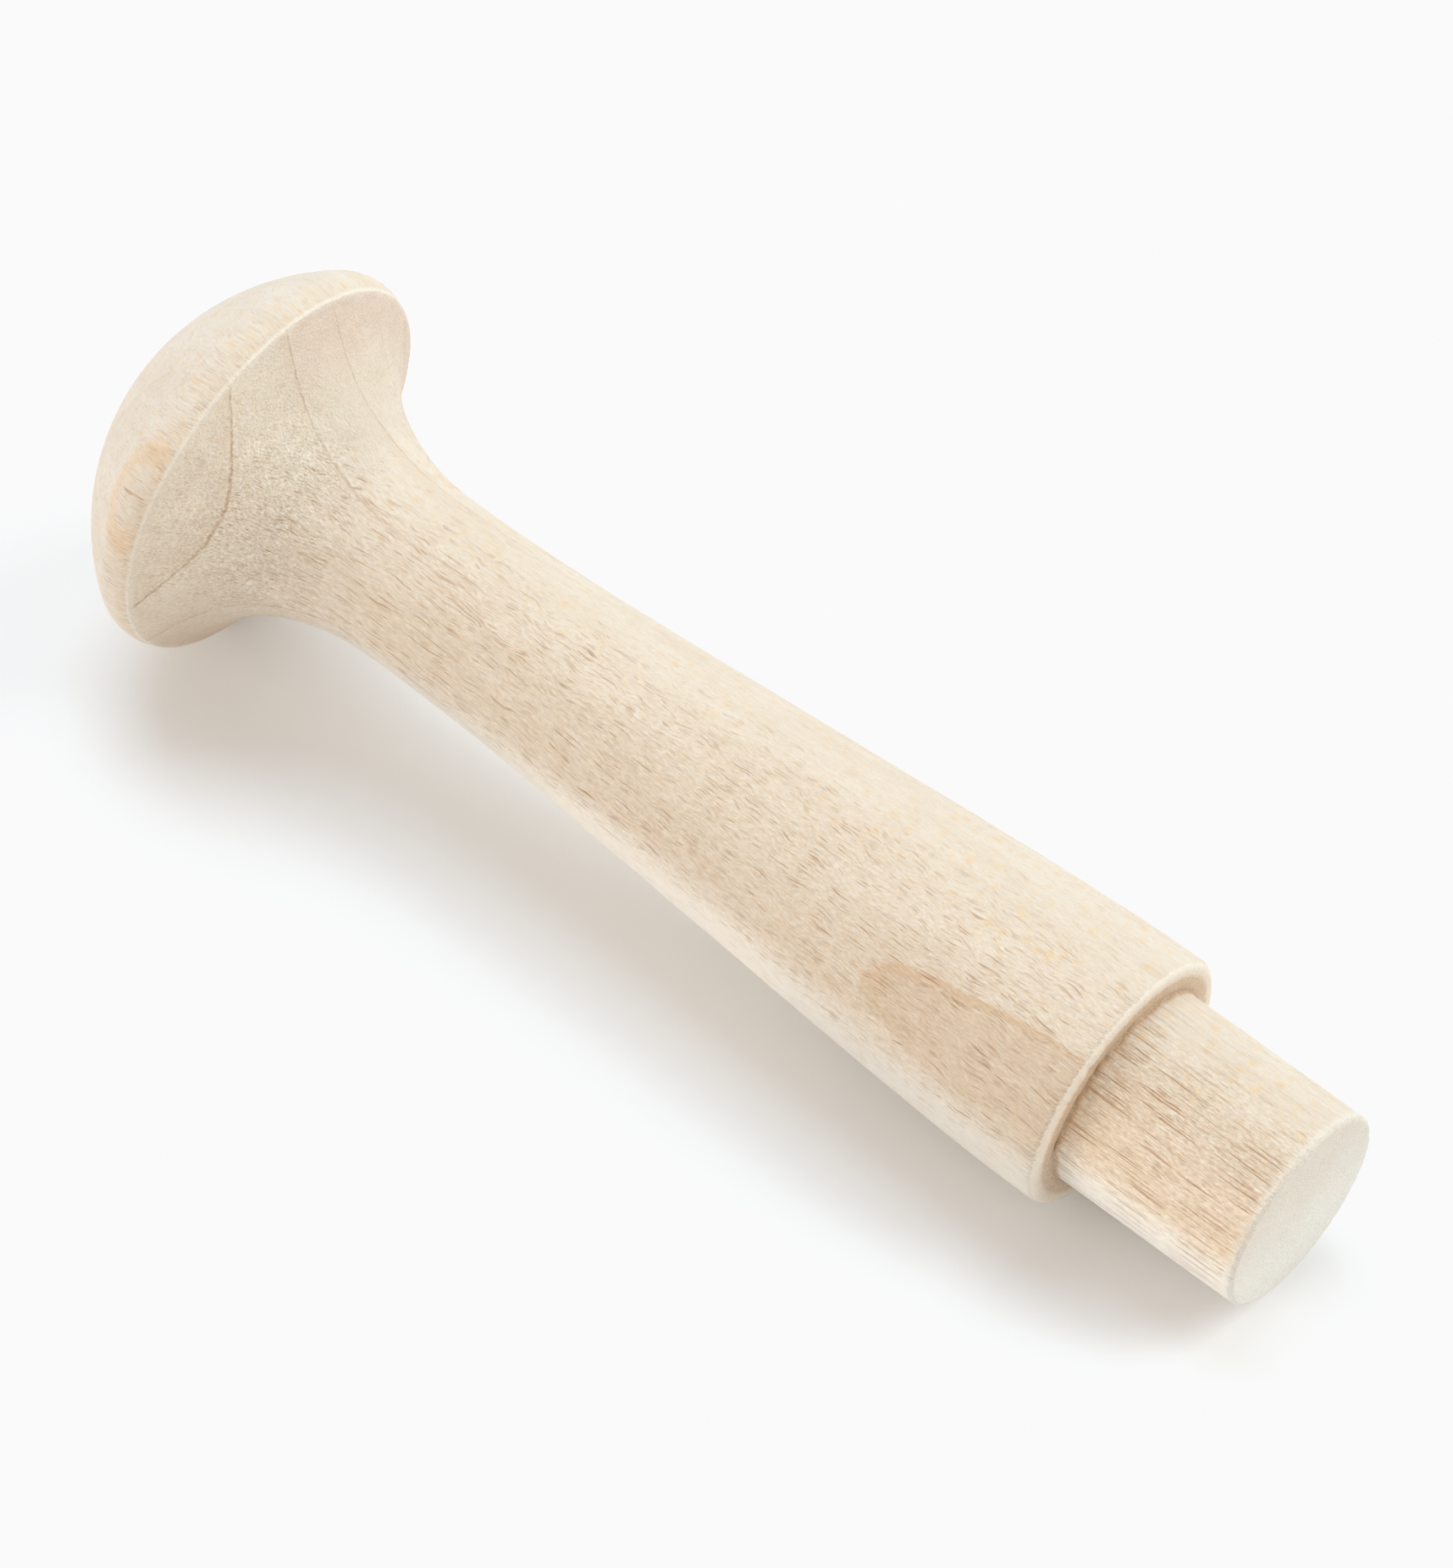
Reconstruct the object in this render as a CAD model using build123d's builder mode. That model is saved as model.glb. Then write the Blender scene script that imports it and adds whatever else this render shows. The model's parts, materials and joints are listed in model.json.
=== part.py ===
# Large Shaker peg, turned from one piece of pale hardwood, lying at rest on a level floor.
# Units are millimetres. +X runs from the head towards the tenon, +Z is up, and the floor is Z = 0.
import os
from math import acos, atan2, cos, hypot, pi, radians, sin
from build123d import *

os.makedirs("parts", exist_ok=True)

# --- driving dimensions; each "at" is a distance along the turning axis from the top of the dome ---
length = 85.7              # 3-3/8 in overall
tenon_d = 12.7             # 1/2 in tenon
tenon_len = 12.7
tenon_end_break = 0.2      # broken edge of the sawn end
shoulder_d = 16.5          # shank at the shoulder
shoulder_round = 0.55      # eased edge of the shoulder
head_d = 25.4              # 1 in head, measured over the bulge of its side
dome_r = 14.8              # radius of the dome
side_round = 2.3           # radius of the bulging side of the head
side_curl = radians(30)    # how far the side curls in below its widest point
cove_slope = radians(62)   # slope of the underside where it meets the lower edge of the side
cove_mid_d = 15.1          # middle of the sweep under the head
cove_mid_at = 13.0
cove_out_d = 11.9          # where the sweep runs out into the neck
cove_out_at = 16.8
neck_d = 10.9              # thinnest place
neck_at = 22.2
waist_d = 12.1             # shank below the neck
waist_at = 36.0
swell_d = 14.1             # shank half-way to the shoulder
swell_at = 50.0
belly_d = 15.75            # shank where the swelling levels out
belly_at = 62.0

# --- the head: the dome and the bulging side are two arcs that share a tangent ---
side_centre_r = head_d / 2 - side_round
blend_angle = acos(side_centre_r / (dome_r - side_round))
side_centre_at = dome_r - (dome_r - side_round) * sin(blend_angle)
blend = (dome_r - dome_r * sin(blend_angle), dome_r * cos(blend_angle))
dome_half_angle = (pi / 2 + blend_angle) / 2
dome_half = (dome_r - dome_r * sin(dome_half_angle), dome_r * cos(dome_half_angle))
lower_edge = (side_centre_at + side_round * sin(side_curl), side_centre_r + side_round * cos(side_curl))

# --- the shoulder: a flat step with an eased outer edge ---
shoulder_at = length - tenon_len
shoulder_centre_at = shoulder_at - shoulder_round
shoulder_centre_r = shoulder_d / 2 - shoulder_round

# --- the rest pose: the floor touches the bulge of the head and the eased shoulder edge ---
drop = side_centre_r - shoulder_centre_r
run = shoulder_centre_at - side_centre_at
tilt = acos((shoulder_round - side_round) / hypot(drop, run)) - atan2(run, drop)
dome_top_height = side_centre_r * cos(tilt) + side_centre_at * sin(tilt) + side_round

# --- X runs from the dome's face to the lower edge of the tenon's end, with its zero half-way ---
dome_face = dome_r * cos(tilt) - dome_r
tenon_face = length * cos(tilt) + (tenon_d / 2 - tenon_end_break) * sin(tilt)
dome_top = Vector(-(dome_face + tenon_face) / 2, 0, dome_top_height)
along = Vector(cos(tilt), 0, -sin(tilt))
turning_axis = Axis(dome_top, along)
outline_plane = Plane(origin=dome_top, x_dir=along, z_dir=(0, -1, 0))

with BuildPart() as shaker_peg:
    with BuildSketch(outline_plane) as half_section:
        with BuildLine() as turned_outline:
            dome = ThreePointArc((0, 0), dome_half, blend)
            side = ThreePointArc(dome @ 1, (side_centre_at, head_d / 2), lower_edge)
            cove = Spline(
                side @ 1,
                (cove_mid_at, cove_mid_d / 2),
                (cove_out_at, cove_out_d / 2),
                (neck_at, neck_d / 2),
                tangents=[(cos(cove_slope), -sin(cove_slope)), (1, 0)],
            )
            shank = Spline(
                cove @ 1,
                (waist_at, waist_d / 2),
                (swell_at, swell_d / 2),
                (belly_at, belly_d / 2),
                (shoulder_centre_at, shoulder_d / 2),
                tangents=[(1, 0), (1, 0)],
            )
            eased_edge = RadiusArc(shank @ 1, (shoulder_at, shoulder_centre_r), shoulder_round)
            shoulder = Line(eased_edge @ 1, (shoulder_at, tenon_d / 2))
            tenon = Line(shoulder @ 1, (length - tenon_end_break, tenon_d / 2))
            broken_edge = Line(tenon @ 1, (length, tenon_d / 2 - tenon_end_break))
            sawn_end = Line(broken_edge @ 1, (length, 0))
            Line(sawn_end @ 1, dome @ 0)
        make_face()
    revolve(axis=turning_axis)

shaker_peg.part.label = "shaker_peg"
export_step(shaker_peg.part, "parts/shaker_peg.step")

tenon_wall = tenon_len - tenon_end_break
print("box", shaker_peg.part.bounding_box())
print("axis direction", along)
print("shoulder centre", dome_top + along * shoulder_at)
print("tenon wall centre", dome_top + along * (shoulder_at + tenon_wall / 2), "length", tenon_wall)
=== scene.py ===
"""A large Shaker peg, turned from one piece of pale hardwood, lying on a white floor.

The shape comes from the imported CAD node. Its outline is read off as radius against distance along the turning
axis, and is turned again here as one dense mesh that carries the marks of the lathe, the saw and handling.
The wood is a solid texture: growth rings, rays and fibres run through the whole peg, and the surface cuts them.
"""
import json
import math
from types import SimpleNamespace

import bpy
import numpy as np
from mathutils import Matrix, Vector


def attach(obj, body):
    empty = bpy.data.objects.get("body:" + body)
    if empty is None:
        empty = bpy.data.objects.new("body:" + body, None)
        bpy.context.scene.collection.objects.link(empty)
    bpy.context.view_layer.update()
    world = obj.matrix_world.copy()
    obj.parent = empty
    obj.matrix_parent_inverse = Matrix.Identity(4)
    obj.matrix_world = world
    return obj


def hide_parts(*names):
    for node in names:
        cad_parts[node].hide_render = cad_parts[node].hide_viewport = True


MM = 0.001
NODE = "shaker_peg"

# --- places along the turning axis, in mm from the top of the dome ---
LOWER_EDGE_AT = 9.015       # the crisp lower edge of the head
SHANK_END_AT = 72.45        # where the shank turns into the eased shoulder edge
FACE_R = 7.7                # outer radius of the flat shoulder face
END_BREAK = 0.2             # broken edge of the sawn end
BAND_NOSE_AT = 56.6         # where the brown band on the shank starts

# --- how finely the visible mesh is turned ---
COLUMNS = 320
ROW = 0.40                  # mm between rows on plain stretches
FINE_ROW = 0.07             # mm between rows at the edges
SAME = 0.005                # mm within which two places count as one

# --- wear of the surface, in mm ---
LATHE_SWELL = 0.006         # unevenness left by the lathe
RIM_CHIP = 0.06             # chips on the lower edge of the head
SHOULDER_NIBBLE = 0.09      # fibres lost from the eased edge of the shoulder
FACE_UNDERCUT = 0.04        # how much too deep the corner at the tenon is cut
FACE_TEAR = 0.06            # and how much deeper where fibres tore out
ROOT_UNDERCUT = 0.06        # the same cut into the root of the tenon
ROOT_FIBRES = 0.30          # torn fibres left standing in that corner
TENON_GROOVE = 0.035        # grooves along the tenon
OUT_OF_SQUARE = 0.13        # half the tilt of the sawn end across its width
END_RAGGED = 0.16           # broad raggedness of its edge
END_RAGGED_FINE = 0.05      # and fine
END_WEAR_LENGTH = 1.2       # how far back from the end the saw's marks reach

# --- the wood, in mm, seen in the cross-section of the peg ---
RING_NORMAL_ANGLE = 60.0    # from straight up towards -Y: the way the growth rings face
GRAIN_SLOPE = 0.0225        # rise of the rings per mm towards the tenon
RING_CURVE = 0.0135         # how strongly the rings bend, per mm
RING_CENTRE = -2.5          # the middle of that bend, round the ring
GRAIN_ZERO_AT = 11.0        # the ring lines below are placed at this distance from the dome's top
TENON_TURN = 0.30           # how far the brown of the tenon is turned from the rings, in radians
RING_LINES = (              # place of each dark ring line, and how dark it is
    (12.15, 0.30),
    (8.65, 1.00),
    (4.10, 0.62),
    (-0.20, 0.55),
    (-4.60, 0.18),
    (-8.90, 0.45),
    (-13.10, 0.45),
)

# --- colours, linear ---
CREAM = (0.715, 0.592, 0.458)
PALE = (0.785, 0.690, 0.565)
TAN = (0.610, 0.440, 0.290)
RUSSET = (0.640, 0.430, 0.255)
HONEY = (0.790, 0.530, 0.250)
UMBER = (0.340, 0.150, 0.040)
SAWN = (0.872, 0.826, 0.738)
# pale edge colour; along the head's lower edge it is a painted highlight
PALE_EDGE_AND_HIGHLIGHT = (0.920, 0.810, 0.670)
AMBER = (0.780, 0.540, 0.320)
ROSE = (0.740, 0.540, 0.430)
TONE_CHANNELS = ((0.86, -0.02), (1.06, 0.03), (1.32, 0.10))     # contrast of the noises, and the shift of the painted cool bounce light and the greyer dome, for red, green and blue
WOOD_SPECULAR = 0.35

# --- floor, in metres and linear grey ---
FLOOR_RADIUS = 4.0
FLOOR_GREY = 0.9
FLOOR_WHITE = 0.956         # the most the floor may show
WHITE_KNEE = 0.92           # below this nothing is held back

# --- camera: places in metres, lens and sensor in mm ---
CAMERA_AIM = Vector((-0.00070, 0.00178, 0.00850))
CAMERA_AZIMUTH = math.radians(39.91)
CAMERA_ELEVATION = math.radians(52.70)
CAMERA_DISTANCE = 0.48684
CAMERA_LENS = 194.4
CAMERA_SENSOR = 36.0
CAMERA_NEAR = 0.01

# --- lamps: azimuth and elevation in degrees, and light ---
LAMP_WIDTH = math.radians(38)
LAMPS = (
    ("key_back_left", 135.0, 65.0, (0.272, 0.341, 0.411)),
    ("key_back_right", 45.0, 40.0, (0.417, 0.464, 0.498)),
    ("fill_front", 225.0, 18.0, (0.340, 0.309, 0.286)),
)
AMBIENT = (0.622, 0.593, 0.557)

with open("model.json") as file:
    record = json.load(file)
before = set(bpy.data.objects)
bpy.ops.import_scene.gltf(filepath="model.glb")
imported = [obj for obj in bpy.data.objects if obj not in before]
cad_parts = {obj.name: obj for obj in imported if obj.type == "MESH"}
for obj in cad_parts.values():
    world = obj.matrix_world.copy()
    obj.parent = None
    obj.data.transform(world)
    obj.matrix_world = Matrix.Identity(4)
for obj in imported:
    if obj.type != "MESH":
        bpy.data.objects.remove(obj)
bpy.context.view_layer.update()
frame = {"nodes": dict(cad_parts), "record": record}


# ---------------------------------------------------------------- the peg's own frame
def unit(v):
    return v / np.linalg.norm(v)


mounts = {mount["name"]: mount for mount in frame["record"]["mounts"]}
cad_points = np.array([v.co for v in frame["nodes"][NODE].data.vertices], float)
along = unit(np.array(mounts["tenon"]["axis"], float))
on_axis = np.array(mounts["tenon"]["pos_m"], float)
reach = (cad_points - on_axis) @ along
dome_top = on_axis + along * reach.min()
length = (reach.max() - reach.min()) / MM
tenon_r = mounts["tenon"]["dims"]["r_mm"]
shoulder_at = float((np.array(mounts["shoulder"]["pos_m"]) - dome_top) @ along) / MM
across = np.array([0.0, -1.0, 0.0])
upward = np.cross(along, across)
upward = upward if upward[2] > 0 else -upward


# ---------------------------------------------------------------- the outline, read from the CAD node
def cad_stretch(start, end, least_gap):
    """The CAD outline between two places, as (at, radius) points at least least_gap mm apart."""
    offset = (cad_points - dome_top) / MM
    at = offset @ along
    radius = np.linalg.norm(offset - np.outer(at, along), axis=1)
    points = np.column_stack([at, radius])[(at > start - 0.004) & (at < end + 0.004)]     # both ends included
    points = points[np.argsort(points[:, 0])]
    kept = [points[0]]
    for point in points[1:-1]:
        far_enough = np.linalg.norm(point - kept[-1]) >= least_gap
        if far_enough and np.linalg.norm(points[-1] - point) >= least_gap:
            kept.append(point)
    return np.array(kept + [points[-1]])


def smooth_curve(points, gap):
    """Points every gap mm along a smooth curve through the given points."""
    steps = np.linalg.norm(np.diff(points, axis=0), axis=1)
    knots = np.concatenate([[0.0], np.cumsum(steps)])
    slopes = np.gradient(points, knots, axis=0, edge_order=2)
    where = np.linspace(0.0, knots[-1], int(math.ceil(knots[-1] / gap)) + 1)
    span = np.clip(np.searchsorted(knots, where, side="right") - 1, 0, len(knots) - 2)
    width = (knots[span + 1] - knots[span])[:, None]
    f = (where - knots[span])[:, None] / width
    curve = (2 * f**3 - 3 * f**2 + 1) * points[span]
    curve += (f**3 - 2 * f**2 + f) * width * slopes[span]
    curve += (3 * f**2 - 2 * f**3) * points[span + 1]
    curve += (f**3 - f**2) * width * slopes[span + 1]
    return curve


def straight(start, end, gap):
    """Evenly spaced points on a straight line."""
    start, end = np.array(start, float), np.array(end, float)
    count = int(math.ceil(np.linalg.norm(end - start) / gap)) + 1
    return start + (end - start) * np.linspace(0.0, 1.0, count)[:, None]


def graded(points, edges):
    """Leaves out points so that rows are ROW apart, but FINE_ROW apart near the given edges."""
    kept = [points[0]]
    for point in points[1:-1]:
        nearest = min(np.linalg.norm(point - np.array(edge)) for edge in edges)
        gap = np.clip(nearest * 0.6, FINE_ROW, ROW)
        far_enough = np.linalg.norm(point - kept[-1]) >= gap
        if far_enough and np.linalg.norm(point - points[-1]) > FINE_ROW / 2:
            kept.append(point)
    return np.array(kept + [points[-1]])


def turned_outline():
    """The whole outline, from the dome's top to the middle of the sawn end, as (at, radius) rows."""
    head = smooth_curve(cad_stretch(0.0, LOWER_EDGE_AT, 0.15), FINE_ROW / 2)
    stem = smooth_curve(cad_stretch(LOWER_EDGE_AT, SHANK_END_AT, 0.3), FINE_ROW / 2)
    eased = smooth_curve(cad_stretch(SHANK_END_AT, shoulder_at - 0.008, 0.03), FINE_ROW / 2)
    corners = [
        (shoulder_at, FACE_R),
        (shoulder_at, tenon_r),
        (length - END_BREAK, tenon_r),
        (length, tenon_r - END_BREAK),
        (length, 0.0),
    ]
    flats = [straight(start, end, FINE_ROW / 2) for start, end in zip(corners, corners[1:])]
    edges = [head[-1], eased[0], eased[-1]] + corners[:-1]
    rows = [head[0]]
    for part in [head, stem, eased] + flats:
        for point in graded(part, edges):
            if np.linalg.norm(point - rows[-1]) > 0.01:
                rows.append(point)
    return np.array(rows)


# ---------------------------------------------------------------- the visible mesh
def closed_noise(rng, columns, width):
    """Noise from -1 to 1 round the peg, about width columns long."""
    noise = rng.standard_normal(columns)
    for _ in range(3):
        noise = sum(np.roll(noise, k) for k in range(-width, width + 1)) / (2 * width + 1)
    return noise / np.abs(noise).max()


def bump_at(place, centre, width):
    """1 at the centre, falling smoothly to 0 at width on either side."""
    return np.clip(1.0 - np.abs(place - centre) / width, 0.0, 1.0) ** 2


def worn_surface(rows):
    """The turned surface with its wear, in mm: (at, radius) for every row and column."""
    rng = np.random.RandomState(7)
    at = np.repeat(rows[:, 0][:, None], COLUMNS, axis=1)
    radius = np.repeat(rows[:, 1][:, None], COLUMNS, axis=1)
    outline_at, outline_r = at.copy(), radius.copy()
    angle = np.linspace(0.0, 2 * math.pi, COLUMNS, endpoint=False)[None, :]

    # slow unevenness that the lathe leaves along the shank, always inwards
    swell = np.sin(outline_at * 0.9 + 1.3 * np.sin(angle)) + np.sin(outline_at * 0.37 + 2.0)
    radius -= LATHE_SWELL * (swell + 2.0) * np.clip(outline_r / 5.0, 0.0, 1.0)

    # tiny chips on the crisp lower edge of the head
    chips = np.clip(closed_noise(rng, COLUMNS, 1) - 0.1, 0.0, 1.0)
    radius -= RIM_CHIP * chips * bump_at(outline_at, LOWER_EDGE_AT, 0.35) * (outline_r > 11.5)

    # nibbled fibres on the eased edge of the shoulder
    nibbles = np.clip(closed_noise(rng, COLUMNS, 1), 0.0, 1.0)
    nibbles = nibbles + 0.3 * np.abs(rng.standard_normal(COLUMNS))
    at -= SHOULDER_NIBBLE * nibbles * bump_at(outline_at, shoulder_at, 0.5) * (outline_r > 7.0)

    # the corner between the shoulder and the tenon, cut a little too deep, with torn fibres left in it
    tear = np.clip(closed_noise(rng, COLUMNS, 1) + 0.2, 0.0, 1.0)
    on_face = (outline_at > shoulder_at - SAME) & (outline_at < shoulder_at + SAME)
    on_root = (outline_r < tenon_r + 0.01) & (outline_at < shoulder_at + 0.8)
    at -= on_face * (FACE_UNDERCUT + FACE_TEAR * tear) * bump_at(outline_r, tenon_r, 0.7)
    radius -= on_root * ROOT_UNDERCUT * bump_at(outline_at, shoulder_at, 0.5)
    radius += on_root * ROOT_FIBRES * tear * bump_at(outline_at, shoulder_at + 0.12, 0.3)

    # the rough tenon: grooves along the grain
    grooves = np.clip(closed_noise(rng, COLUMNS, 1), 0.0, 1.0)
    on_tenon = (outline_r > tenon_r - 0.3) & (outline_at > shoulder_at + 0.3)
    radius -= on_tenon * TENON_GROOVE * grooves

    # the saw left the end a little out of square, with a ragged edge
    near_end = np.clip((outline_at - (length - END_WEAR_LENGTH)) / END_WEAR_LENGTH, 0.0, 1.0)
    out_of_square = OUT_OF_SQUARE * (1.0 + np.cos(angle - math.radians(10))) * outline_r / tenon_r
    ragged = END_RAGGED * np.clip(closed_noise(rng, COLUMNS, 1), 0.0, 1.0)
    ragged = ragged + END_RAGGED_FINE * np.abs(rng.standard_normal(COLUMNS))
    at -= near_end * (out_of_square + ragged * bump_at(outline_r, tenon_r, 0.45))
    return at, radius


def turned_mesh(rows):
    """One closed mesh with a UV map that unrolls the peg, so that a bake spends its pixels evenly."""
    at, radius = worn_surface(rows)
    angle = np.linspace(0.0, 2 * math.pi, COLUMNS, endpoint=False)[None, :]
    radial = np.cos(angle)[..., None] * upward + np.sin(angle)[..., None] * across
    rings = dome_top + MM * (at[..., None] * along + radius[..., None] * radial)
    inner = rings[1:-1]
    count = len(inner)
    points = np.concatenate([inner.reshape(-1, 3), [rings[0, 0]], [rings[-1].mean(axis=0)]])
    apex, end = count * COLUMNS, count * COLUMNS + 1

    steps = np.linalg.norm(np.diff(rows, axis=0), axis=1)
    height = np.concatenate([[0.0], np.cumsum(steps)]) / steps.sum()
    faces, uvs = [], []
    for c in range(COLUMNS):
        n = (c + 1) % COLUMNS
        left, right = c / COLUMNS, (c + 1) / COLUMNS
        faces.append((apex, n, c))
        uvs.append(((left + right) / 2, height[0], right, height[1], left, height[1]))
        for r in range(count - 1):
            a, b = r * COLUMNS, (r + 1) * COLUMNS
            low, high = height[r + 1], height[r + 2]
            faces.append((a + c, a + n, b + n, b + c))
            uvs.append((left, low, right, low, right, high, left, high))
        last = (count - 1) * COLUMNS
        faces.append((last + c, last + n, end))
        uvs.append((left, height[-2], right, height[-2], (left + right) / 2, height[-1]))
    mesh = bpy.data.meshes.new("turned_peg")
    mesh.from_pydata(points.tolist(), [], faces)
    layer = mesh.uv_layers.new(name="OFBake")
    layer.data.foreach_set("uv", np.concatenate(uvs))
    mesh.shade_smooth()
    mesh.update()
    return mesh


# ---------------------------------------------------------------- a small kit for material nodes
class Graph:
    """Makes nodes with one call each. A value is a number, a tuple or another node's output."""

    def __init__(self, tree):
        self.tree = tree

    def node(self, kind, settings=(), **inputs):
        made = self.tree.nodes.new(kind)
        for name, value in settings:
            setattr(made, name, value)
        for name, value in inputs.items():
            self.feed(made.inputs[name.replace("_", " ")], value)
        return made

    def feed(self, socket, value):
        if isinstance(value, bpy.types.NodeSocket):
            self.tree.links.new(value, socket)
        else:
            socket.default_value = value

    def math(self, operation, *values):
        made = self.tree.nodes.new("ShaderNodeMath")
        made.operation = operation
        for socket, value in zip(made.inputs, values):
            self.feed(socket, value)
        return made.outputs[0]

    def vector(self, operation, *values):
        made = self.tree.nodes.new("ShaderNodeVectorMath")
        made.operation = operation
        for socket, value in zip(made.inputs, values):
            self.feed(socket, value)
        return made.outputs["Value" if operation in ("DOT_PRODUCT", "LENGTH") else "Vector"]

    def join(self, x, y, z):
        return self.node("ShaderNodeCombineXYZ", X=x, Y=y, Z=z).outputs[0]

    def ease(self, value, start, end, low=0.0, high=1.0):
        """Runs smoothly from low to high as value goes from start to end."""
        settings = (("interpolation_type", "SMOOTHSTEP"),)
        made = self.node("ShaderNodeMapRange", settings)
        for name, number in (("From Min", start), ("From Max", end), ("To Min", low), ("To Max", high)):
            self.feed(made.inputs[name], number)
        self.feed(made.inputs["Value"], value)
        return made.outputs[0]

    def noise(self, place, waves, detail=3.0, roughness=0.55):
        """Soft noise from 0 to 1 with the given waves per mm along each direction."""
        scaled = self.vector("MULTIPLY", place, waves)
        made = self.node("ShaderNodeTexNoise", Vector=scaled, Scale=1.0, Detail=detail, Roughness=roughness)
        return made.outputs[0]

    def swing(self, noise, size):
        """The noise moved to lie about 0, and scaled."""
        return self.times(self.math("SUBTRACT", noise, 0.5), size)

    def cells(self, place):
        """Distance to the nearest of many scattered points, and two random numbers of that point."""
        made = self.node("ShaderNodeTexVoronoi", Vector=place, Scale=1.0)
        parts = self.node("ShaderNodeSeparateColor", Color=made.outputs["Color"])
        return made.outputs["Distance"], parts.outputs[0], parts.outputs[1]

    def mix(self, factor, first, second):
        made = self.node("ShaderNodeMix", (("data_type", "RGBA"),))
        self.feed(made.inputs[0], factor)
        for socket, colour in ((made.inputs[6], first), (made.inputs[7], second)):     # A and B as colours
            self.feed(socket, (*colour, 1.0) if isinstance(colour, tuple) else colour)
        return made.outputs[2]

    def add(self, *values):
        total = values[0]
        for value in values[1:]:
            total = self.math("ADD", total, value)
        return total

    def times(self, *values):
        product = values[0]
        for value in values[1:]:
            product = self.math("MULTIPLY", product, value)
        return product


# ---------------------------------------------------------------- the wood
def wood_axes():
    """Unit vectors along the peg, towards the pith, and round the ring."""
    angle = math.radians(RING_NORMAL_ANGLE)
    toward_pith = upward * math.cos(angle) + across * math.sin(angle)
    round_ring = across * math.cos(angle) - upward * math.sin(angle)
    return along, toward_pith, round_ring


def peg_places(g):
    """Where a point lies, in mm on the wood's axes, and how far it is on each part of the peg, 0 to 1."""
    coordinates = g.node("ShaderNodeTexCoord").outputs["Object"]
    offset = g.vector("SUBTRACT", coordinates, tuple(dome_top))
    at, toward_pith, round_ring = [g.vector("DOT_PRODUCT", offset, tuple(axis / MM)) for axis in wood_axes()]
    p = SimpleNamespace(at=at, toward_pith=toward_pith, round_ring=round_ring)
    p.from_axis = g.math("SQRT", g.add(g.times(toward_pith, toward_pith), g.times(round_ring, round_ring)))
    p.off_dome = g.ease(at, 7.0, 9.2, 0.42, 1.0)
    p.under_head = g.times(g.ease(at, LOWER_EDGE_AT - 0.05, LOWER_EDGE_AT + 0.05), g.ease(at, 19.0, 13.0))
    p.mid_shank = g.times(g.ease(at, 26.0, 38.0), g.ease(at, 60.0, 50.0))
    p.on_tenon = g.ease(at, shoulder_at - 0.15, shoulder_at + 0.15)
    p.turned_away = g.times(round_ring, g.add(1.0, g.times(p.on_tenon, 0.3), g.times(p.mid_shank, 0.3)))
    # the low side, where light bounced from the floor is painted in as paler, greyer colour
    p.pale_side = g.times(g.ease(p.turned_away, 1.4, 5.0), g.ease(at, 14.0, 22.0))
    return p


def lay_grain(g, p):
    """Adds places that follow the grain, which drifts, wavers a little and bends round the pith."""
    plain = g.join(p.at, p.toward_pith, p.round_ring)
    level = g.add(p.toward_pith, g.times(g.math("SUBTRACT", p.at, GRAIN_ZERO_AT), GRAIN_SLOPE))
    bend = g.add(p.round_ring, -RING_CENTRE)
    p.ring = g.math("SUBTRACT", level, g.times(bend, bend, RING_CURVE))
    p.feather = g.noise(plain, (0.9, 1.3, 3.5))
    p.feathered = g.add(p.ring, g.swing(p.feather, 0.25))
    waver = g.swing(g.noise(g.join(p.at, level, p.round_ring), (0.035, 0.16, 0.16), detail=2.0), 1.0)
    curl = g.swing(g.noise(plain, (0.45, 0.6, 0.6), detail=1.0), g.ease(p.on_tenon, 0.0, 1.0, 0.6, 0.12))
    p.sideways = g.add(p.round_ring, g.times(waver, 0.9), curl)
    p.grain = g.join(p.at, g.add(level, g.times(waver, 0.8)), p.sideways)


def lay_noises(g, p):
    """Fibres, soft clouds of tone and the blush of single patches; the numbers are waves per mm."""
    return SimpleNamespace(
        fibres=g.noise(p.grain, (0.5, 6.5, 6.5), detail=5.0, roughness=0.65),
        threads=g.noise(p.grain, (1.6, 19.0, 19.0), detail=2.0),
        clouds=g.noise(p.grain, (0.12, 0.5, 0.5), detail=2.0),
        blush=g.noise(p.grain, (0.45, 1.5, 1.5)),
        grit=g.noise(p.grain, (3.4, 6.5, 6.5), detail=4.0, roughness=0.7),
        nap=g.noise(p.grain, (2.6, 9.5, 9.5), roughness=0.6),
        hue=g.noise(p.grain, (2.0, 4.5, 4.5), detail=2.0),
        speckle=g.noise(p.grain, (9.0, 9.0, 9.0), detail=2.0),
    )


def ring_marks(g, p):
    """Dark ring lines, and a warm zone on the inner side of each that fades towards the next."""
    lines, warm = 0.0, 0.0
    for place, darkness in RING_LINES:
        past = g.math("SUBTRACT", p.feathered, place)
        thin = g.ease(g.math("ABSOLUTE", past), 0.12, 0.02)
        zone = g.times(g.ease(past, -0.05, 0.08), g.ease(past, 1.5, 0.1))
        lines = g.add(lines, g.times(thin, darkness))
        warm = g.add(warm, g.times(zone, darkness))
    broken = g.ease(g.noise(p.grain, (1.4, 2.0, 2.0), detail=2.0), 0.35, 0.6, 0.45, 1.0)
    strength = g.times(g.ease(p.at, 34.0, 13.0, 0.10, 1.0), g.ease(p.at, 8.6, 9.1, 0.22, 1.0), broken)
    warm = g.times(warm, g.ease(p.at, 48.0, 12.0, 0.3, 1.0), g.ease(p.at, 8.0, 9.1, 0.10, 0.22))
    return g.times(lines, strength), warm


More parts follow.
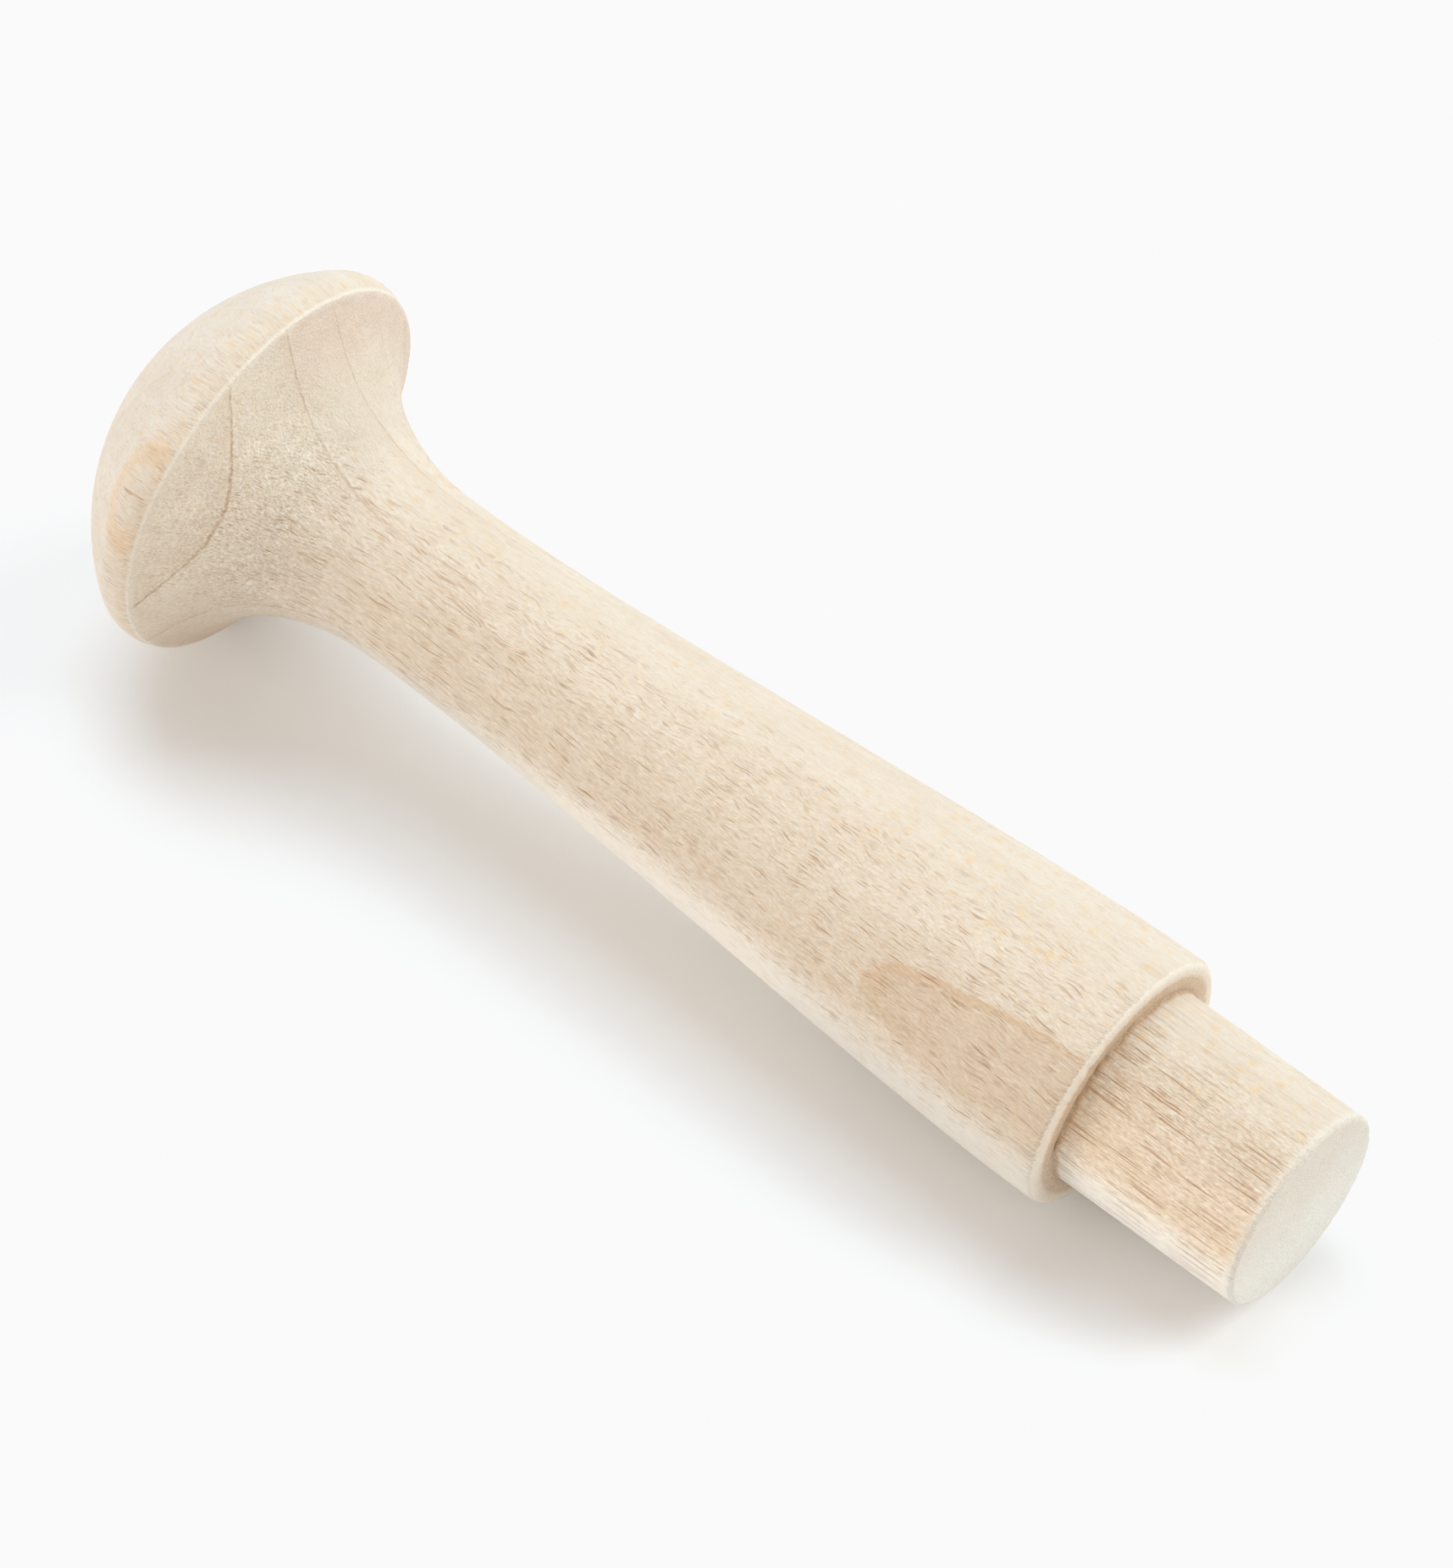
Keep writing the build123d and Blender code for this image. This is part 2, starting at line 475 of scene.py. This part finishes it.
def brown_band(g, p):
    """The brown band on the low side of the shank, and its darker upper edge."""
    inside = g.math("SUBTRACT", p.feathered, g.ease(p.at, BAND_NOSE_AT, BAND_NOSE_AT + 5.0, 8.78, 8.53))
    started = g.ease(p.at, BAND_NOSE_AT - 1.6, BAND_NOSE_AT + 0.1)
    band = g.times(g.ease(inside, -0.02, 0.22), started, g.ease(p.round_ring, 3.6, 0.4, 0.10, 1.0))
    edge = g.times(g.ease(inside, -0.06, 0.05), g.ease(inside, 0.30, 0.08), started)
    edge = g.times(edge, g.ease(p.round_ring, 2.0, -1.0, 0.15, 1.0))
    return g.times(band, g.ease(inside, 1.0, 0.1, 0.30, 0.46)), edge


def brown_tenon(g, p):
    """The band's continuation on the tenon, a little turned and paler towards the sawn end."""
    tilted = g.add(g.times(p.toward_pith, math.cos(TENON_TURN)), g.times(p.round_ring, -math.sin(TENON_TURN)))
    brown = g.times(p.on_tenon, g.ease(g.add(tilted, g.times(p.feather, 1.4)), 5.2, 6.6))
    return g.times(brown, g.ease(p.at, shoulder_at + 5.0, shoulder_at + 1.0, 0.30, 0.46))


def rim_marks(g, p):
    """Two amber patches and one dark streak on the bulging side of the head."""
    patches = g.ease(g.math("ABSOLUTE", g.math("SUBTRACT", p.feathered, 12.0)), 0.45, 0.05)
    patches = g.times(patches, g.ease(p.at, 5.2, 6.6), g.ease(p.at, 9.0, 8.4))
    streak = g.ease(g.math("ABSOLUTE", g.add(p.sideways, 0.76)), 0.10, 0.03)
    streak = g.times(streak, g.ease(p.toward_pith, 9.0, 10.0), g.ease(p.at, 6.8, 7.2), g.ease(p.at, 8.7, 8.3))
    return patches, streak


def strewn(g, place, size, shift, keep, fade=0.47, core=0.6):
    """Scattered grains, sized in mm on the wood's axes; keep is the share of them that shows."""
    stretched = g.vector("MULTIPLY", place, tuple(1.0 / s for s in size))
    distance, chance, strength = g.cells(g.vector("ADD", stretched, shift))
    shown = g.math("LESS_THAN", chance, keep)
    shape = g.ease(distance, fade, fade * core)
    return g.times(shown, shape, g.ease(strength, 0.0, 1.0, 0.45, 1.0))


def cut_marks(g, p):
    """Rays and vessels: dark hairs where the surface cuts across them, flecks where it cuts them flat."""
    c = SimpleNamespace()
    c.hairs = strewn(g, p.grain, (2.4, 0.42, 0.10), (3.1, 0.2, 7.7), 0.26)
    c.fine_hairs = strewn(g, p.grain, (1.1, 0.30, 0.085), (9.4, 5.2, 1.3), 0.46)
    c.pale_hairs = strewn(g, p.grain, (1.1, 0.32, 0.11), (6.3, 7.1, 0.9), 0.42)
    c.flecks = strewn(g, p.grain, (0.75, 1.2, 0.50), (1.7, 8.8, 4.1), 0.44, fade=0.56, core=0.1)
    neck_hairs = strewn(g, p.grain, (7.5, 0.6, 0.10), (4.7, 1.9, 8.3), 0.16)
    c.neck_hairs = g.times(neck_hairs, g.ease(p.at, 13.0, 16.0), g.ease(p.at, 36.0, 28.0))
    rim_flecks = strewn(g, p.grain, (1.2, 0.5, 0.20), (8.1, 3.3, 5.6), 0.30)
    c.rim_flecks = g.times(rim_flecks, g.ease(p.at, 3.5, 6.0), g.ease(p.at, 9.1, 8.8))
    tenon_cuts = strewn(g, p.grain, (4.6, 0.45, 0.105), (5.3, 2.9, 6.1), 0.56)
    c.tenon_cuts = g.times(tenon_cuts, p.on_tenon)

    facing = g.node("ShaderNodeNewGeometry").outputs["Normal"]
    facing_pith = g.math("ABSOLUTE", g.vector("DOT_PRODUCT", facing, tuple(wood_axes()[1])))
    c.across_rays = g.ease(facing_pith, 0.1, 0.9, 0.15, 1.0)
    quiet = g.times(g.ease(p.turned_away, 3.0, 5.0), g.ease(p.at, 16.0, 24.0), 0.6)
    c.marked = g.times(c.across_rays, g.math("SUBTRACT", 1.0, quiet))
    return c


def layered(g, colour, layers):
    """Mixes each layer's colour in by the product of its amounts."""
    for tint, *amounts in layers:
        colour = g.mix(g.times(*amounts), colour, tint)
    return colour


def wood_colour(g, p, n, c, lines, warm):
    """The colour of the wood before its edges and its sawn end."""
    band, band_edge = brown_band(g, p)
    patches, streak = rim_marks(g, p)
    gathered = g.ease(n.blush, 0.36, 0.62, 0.40, 1.0)
    late_flecks = g.ease(p.at, 44.0, 64.0, 1.0, 1.7)
    return layered(g, CREAM, (
        (PALE, g.ease(n.clouds, 0.2, 0.8, 0.15, 0.75)),
        (RUSSET, g.ease(n.blush, 0.52, 0.78), 0.20),
        (TAN, g.ease(p.ring, 1.5, 6.5), g.ease(p.at, 16.0, 26.0), g.ease(p.round_ring, 4.5, 1.0, 0.0, 0.16)),
        (HONEY, g.ease(n.hue, 0.48, 0.72), 0.26),
        (PALE, g.ease(n.hue, 0.50, 0.28), 0.30),
        (TAN, g.ease(n.fibres, 0.50, 0.28), 0.30),
        (PALE, g.ease(n.fibres, 0.52, 0.74), 0.35),
        (TAN, warm),
        (TAN, band),
        (RUSSET, band_edge, 0.55),
        (ROSE, p.under_head, g.ease(p.from_axis, 7.5, 11.0), g.ease(p.toward_pith, 7.0, 3.0), 0.40),
        (AMBER, patches, 0.60),
        (AMBER, c.rim_flecks, 0.60),
        (TAN, brown_tenon(g, p)),
        # painted bounce light: the low side made paler
        (PALE, p.pale_side, g.add(0.66, g.times(p.on_tenon, 0.24))),
        (HONEY, c.flecks, g.ease(c.across_rays, 1.0, 0.65, 0.08, 0.36), late_flecks, g.ease(p.under_head, 0.5, 0.0)),
        (PALE, c.pale_hairs, c.across_rays, 0.50),
        (UMBER, lines, 0.52),
        (UMBER, streak, 0.35),
        (UMBER, c.hairs, gathered, c.marked, p.off_dome, 0.60),
        (UMBER, c.fine_hairs, gathered, c.marked, p.off_dome, 0.54),
        (UMBER, c.neck_hairs, c.marked, 0.45),
        (UMBER, c.tenon_cuts, c.across_rays, g.ease(p.at, shoulder_at + 4.0, shoulder_at + 0.5, 0.64, 0.80)),
    ))


def toned(g, p, n, c, colour):
    """Lets the small noises lighten and darken the colour, warmer where dark, and paints bounce light: the low sides
    and the head's underside lighter, the low side greyer; the dome's face greyer too.
    """
    depth = g.add(0.52, g.times(p.under_head, 0.70), g.times(p.on_tenon, 0.45))
    tone = g.swing(n.nap, g.math("SUBTRACT", 1.0, g.times(p.under_head, 0.4)))
    tone = g.add(tone, g.swing(n.threads, 0.6), g.swing(n.grit, g.add(0.3, p.under_head)))
    tone = g.times(tone, depth, c.marked, p.off_dome)

    # painted bounce light: the low side of the shank, the underside of the head and the low side of the tenon made
    # lighter
    shank_bounce_lift = g.times(p.pale_side, p.mid_shank, 0.14)
    head_rise = g.ease(p.at, 15.0, 11.0, 0.14, 0.24)
    head_bounce_lift = g.times(p.under_head, head_rise, g.ease(p.toward_pith, 4.0, 9.0, 0.62, 1.0))
    tenon_rise = g.ease(p.round_ring, -5.0, 1.0, 0.0, 0.22)
    tenon_bounce_lift = g.times(p.on_tenon, tenon_rise, g.ease(p.round_ring, 6.0, 2.5, 0.4, 1.0))
    painted_bounce_lift = g.add(shank_bounce_lift, head_bounce_lift, tenon_bounce_lift)
    # painted cool bounce light on the low side, greyer and bluer; the dome's face is made greyer and bluer too
    bounce_and_dome_grey = g.add(g.times(p.pale_side, g.add(1.2, g.times(p.on_tenon, 0.3))), g.ease(p.at, 8.6, 6.5))
    channels = [g.add(1.0, painted_bounce_lift, g.times(tone, contrast), g.times(bounce_and_dome_grey, shift)) for contrast, shift in TONE_CHANNELS]
    return g.vector("MULTIPLY", colour, g.join(*channels))


def edge_colour(g, p, n, colour):
    """Pale edges, with a painted highlight along the head's lower edge, and the torn brown corner of the shoulder
    with painted shade in it.
    """
    from_rim = g.math("ABSOLUTE", g.math("SUBTRACT", p.at, LOWER_EDGE_AT - 0.02))
    # painted highlight: a thin pale line along the crisp lower edge of the head
    rim_highlight = g.times(g.ease(from_rim, 0.26, 0.05), g.ease(p.from_axis, 12.0, 12.2))
    ragged_r = g.add(p.from_axis, g.swing(n.grit, 1.6))
    frayed = g.add(p.at, g.swing(n.grit, 0.5))
    eased = g.times(g.ease(frayed, SHANK_END_AT + 0.28, SHANK_END_AT + 0.34), g.ease(ragged_r, 7.20, 7.45))
    torn = g.ease(n.grit, 0.40, 0.58, 0.22, 1.0)
    # torn fibres and painted shade: the corner between shoulder and tenon darkened brown
    corner = g.ease(p.at, shoulder_at - 0.3, shoulder_at - 0.15)
    corner = g.times(corner, g.ease(p.at, shoulder_at + 0.45, shoulder_at + 0.1), g.ease(ragged_r, 7.60, 7.25))
    return layered(g, colour, (
        (PALE_EDGE_AND_HIGHLIGHT, rim_highlight, g.ease(n.grit, 0.35, 0.6, 0.38, 0.66)),
        (PALE_EDGE_AND_HIGHLIGHT, eased, 0.72),
        (RUSSET, corner, torn, 0.90),
        (UMBER, corner, torn, g.ease(ragged_r, 6.85, 6.40), 0.22),
    ))


def sawn_colour(g, p, n, colour, on_end):
    """The whiter sawn end, a little darker towards its top, with a pale fuzz of fibres round it."""
    up_the_end = g.add(g.times(p.toward_pith, 0.50), g.times(p.round_ring, -0.87))
    sawn = layered(g, SAWN, (
        (PALE, g.ease(g.add(up_the_end, g.times(n.clouds, 4.0)), -1.5, 7.0, 0.0, 0.85)),
        (TAN, g.ease(n.grit, 0.50, 0.34), 0.42),
    ))
    fuzz = g.ease(g.add(p.at, g.swing(n.threads, 1.6)), length - 1.0, length - 0.4)
    return layered(g, colour, (
        (SAWN, fuzz, 0.55),
        (sawn, on_end, g.ease(n.speckle, 0.3, 0.6, 0.7, 1.0)),
    ))


def wood_relief(g, p, n, c, lines, on_end):
    """The height of the small relief, in mm."""
    cut = g.add(0.02, g.times(p.under_head, 0.14), g.times(p.on_tenon, 0.03))
    relief = g.add(g.swing(n.fibres, 0.055), g.swing(n.nap, 0.030), g.swing(n.threads, 0.016))
    relief = g.add(relief, g.swing(n.grit, cut), g.swing(n.speckle, g.times(on_end, 0.09)))
    relief = g.math("SUBTRACT", relief, g.times(g.add(c.hairs, c.fine_hairs, c.tenon_cuts), 0.008))
    return g.math("SUBTRACT", relief, g.times(lines, 0.015))


def wood_material():
    material = bpy.data.materials.new("peg_maple")
    material.use_nodes = True
    material.node_tree.nodes.clear()
    g = Graph(material.node_tree)

    p = peg_places(g)
    lay_grain(g, p)
    n = lay_noises(g, p)
    c = cut_marks(g, p)
    lines, warm = ring_marks(g, p)
    ragged_end = g.add(p.from_axis, g.swing(n.grit, 0.9))
    on_end = g.ease(p.at, length - 0.75, length - 0.45)
    on_end = g.times(on_end, g.ease(ragged_end, tenon_r + 0.10, tenon_r - 0.14))

    colour = wood_colour(g, p, n, c, lines, warm)
    colour = toned(g, p, n, c, colour)
    colour = edge_colour(g, p, n, colour)
    colour = sawn_colour(g, p, n, colour, on_end)
    relief = wood_relief(g, p, n, c, lines, on_end)
    bump = g.node("ShaderNodeBump", Strength=1.0, Distance=MM, Height=relief).outputs[0]
    sheen = g.ease(n.fibres, 0.3, 0.7, 0.68, 0.56)
    shader = g.node("ShaderNodeBsdfPrincipled", Base_Color=colour, Roughness=sheen, Normal=bump)
    shader.inputs["Specular IOR Level"].default_value = WOOD_SPECULAR
    g.node("ShaderNodeOutputMaterial", Surface=shader.outputs[0])
    return material


# ---------------------------------------------------------------- the piece
def make_peg():
    peg = bpy.data.objects.new("turned_peg", turned_mesh(turned_outline()))
    bpy.context.scene.collection.objects.link(peg)
    peg.data.materials.append(wood_material())
    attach(peg, "root")
    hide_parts(NODE)


# ---------------------------------------------------------------- floor, light and camera
def make_floor():
    bpy.ops.mesh.primitive_circle_add(vertices=64, radius=FLOOR_RADIUS, fill_type="NGON", location=(0, 0, 0))
    floor = bpy.context.object
    floor.name = "floor"
    material = bpy.data.materials.new("floor_white")
    material.use_nodes = True
    shader = material.node_tree.nodes["Principled BSDF"]
    shader.inputs["Base Color"].default_value = (FLOOR_GREY, FLOOR_GREY, FLOOR_GREY, 1.0)
    shader.inputs["Roughness"].default_value = 1.0
    shader.inputs["Specular IOR Level"].default_value = 0.0
    floor.data.materials.append(material)


def make_world():
    """Even, slightly warm light all round; the camera sees it as white as the floor."""
    world = bpy.data.worlds.new("studio")
    bpy.context.scene.world = world
    world.use_nodes = True
    tree = world.node_tree
    tree.nodes.clear()
    g = Graph(tree)
    seen = g.node("ShaderNodeLightPath").outputs["Is Camera Ray"]
    colour = g.mix(seen, AMBIENT, (1.0, 1.0, 1.0))
    background = g.node("ShaderNodeBackground", Color=colour, Strength=1.0)
    g.node("ShaderNodeOutputWorld", Surface=background.outputs[0])


def make_lamps():
    """Three very soft lamps: two behind the peg and a low one in front."""
    for name, azimuth, elevation, light in LAMPS:
        azimuth, elevation = math.radians(azimuth), math.radians(elevation)
        level = math.cos(elevation)
        way = Vector((math.cos(azimuth) * level, math.sin(azimuth) * level, math.sin(elevation)))
        data = bpy.data.lights.new(name, "SUN")
        data.angle = LAMP_WIDTH
        data.energy = math.pi * max(light)
        data.color = [part / max(light) for part in light]
        lamp = bpy.data.objects.new(name, data)
        lamp.rotation_mode = "QUATERNION"
        lamp.rotation_quaternion = way.to_track_quat("Z", "Y")
        bpy.context.scene.collection.objects.link(lamp)


def make_camera():
    data = bpy.data.cameras.new("camera")
    data.lens = CAMERA_LENS
    data.sensor_width = CAMERA_SENSOR
    data.clip_start = CAMERA_NEAR
    camera = bpy.data.objects.new("camera", data)
    level = math.cos(CAMERA_ELEVATION)
    sideways, forward = math.sin(CAMERA_AZIMUTH) * level, -math.cos(CAMERA_AZIMUTH) * level
    back = Vector((sideways, forward, math.sin(CAMERA_ELEVATION)))
    camera.location = CAMERA_AIM + back * CAMERA_DISTANCE
    camera.rotation_mode = "QUATERNION"
    camera.rotation_quaternion = back.to_track_quat("Z", "Y")
    bpy.context.scene.collection.objects.link(camera)
    bpy.context.scene.camera = camera


def set_view():
    """Plain colours, with the overexposed floor held just under full white."""
    view = bpy.context.scene.view_settings
    view.view_transform = "Standard"
    view.look = "None"
    view.use_curve_mapping = True
    mapping = view.curve_mapping
    mapping.extend = "HORIZONTAL"
    curve = mapping.curves[3]       # red, green and blue together
    curve.points[1].location = (1.0, FLOOR_WHITE)
    curve.points.new(WHITE_KNEE, WHITE_KNEE)
    for point in curve.points:
        point.handle_type = "VECTOR"
    mapping.update()


make_peg()
make_floor()
make_world()
make_lamps()
make_camera()
set_view()
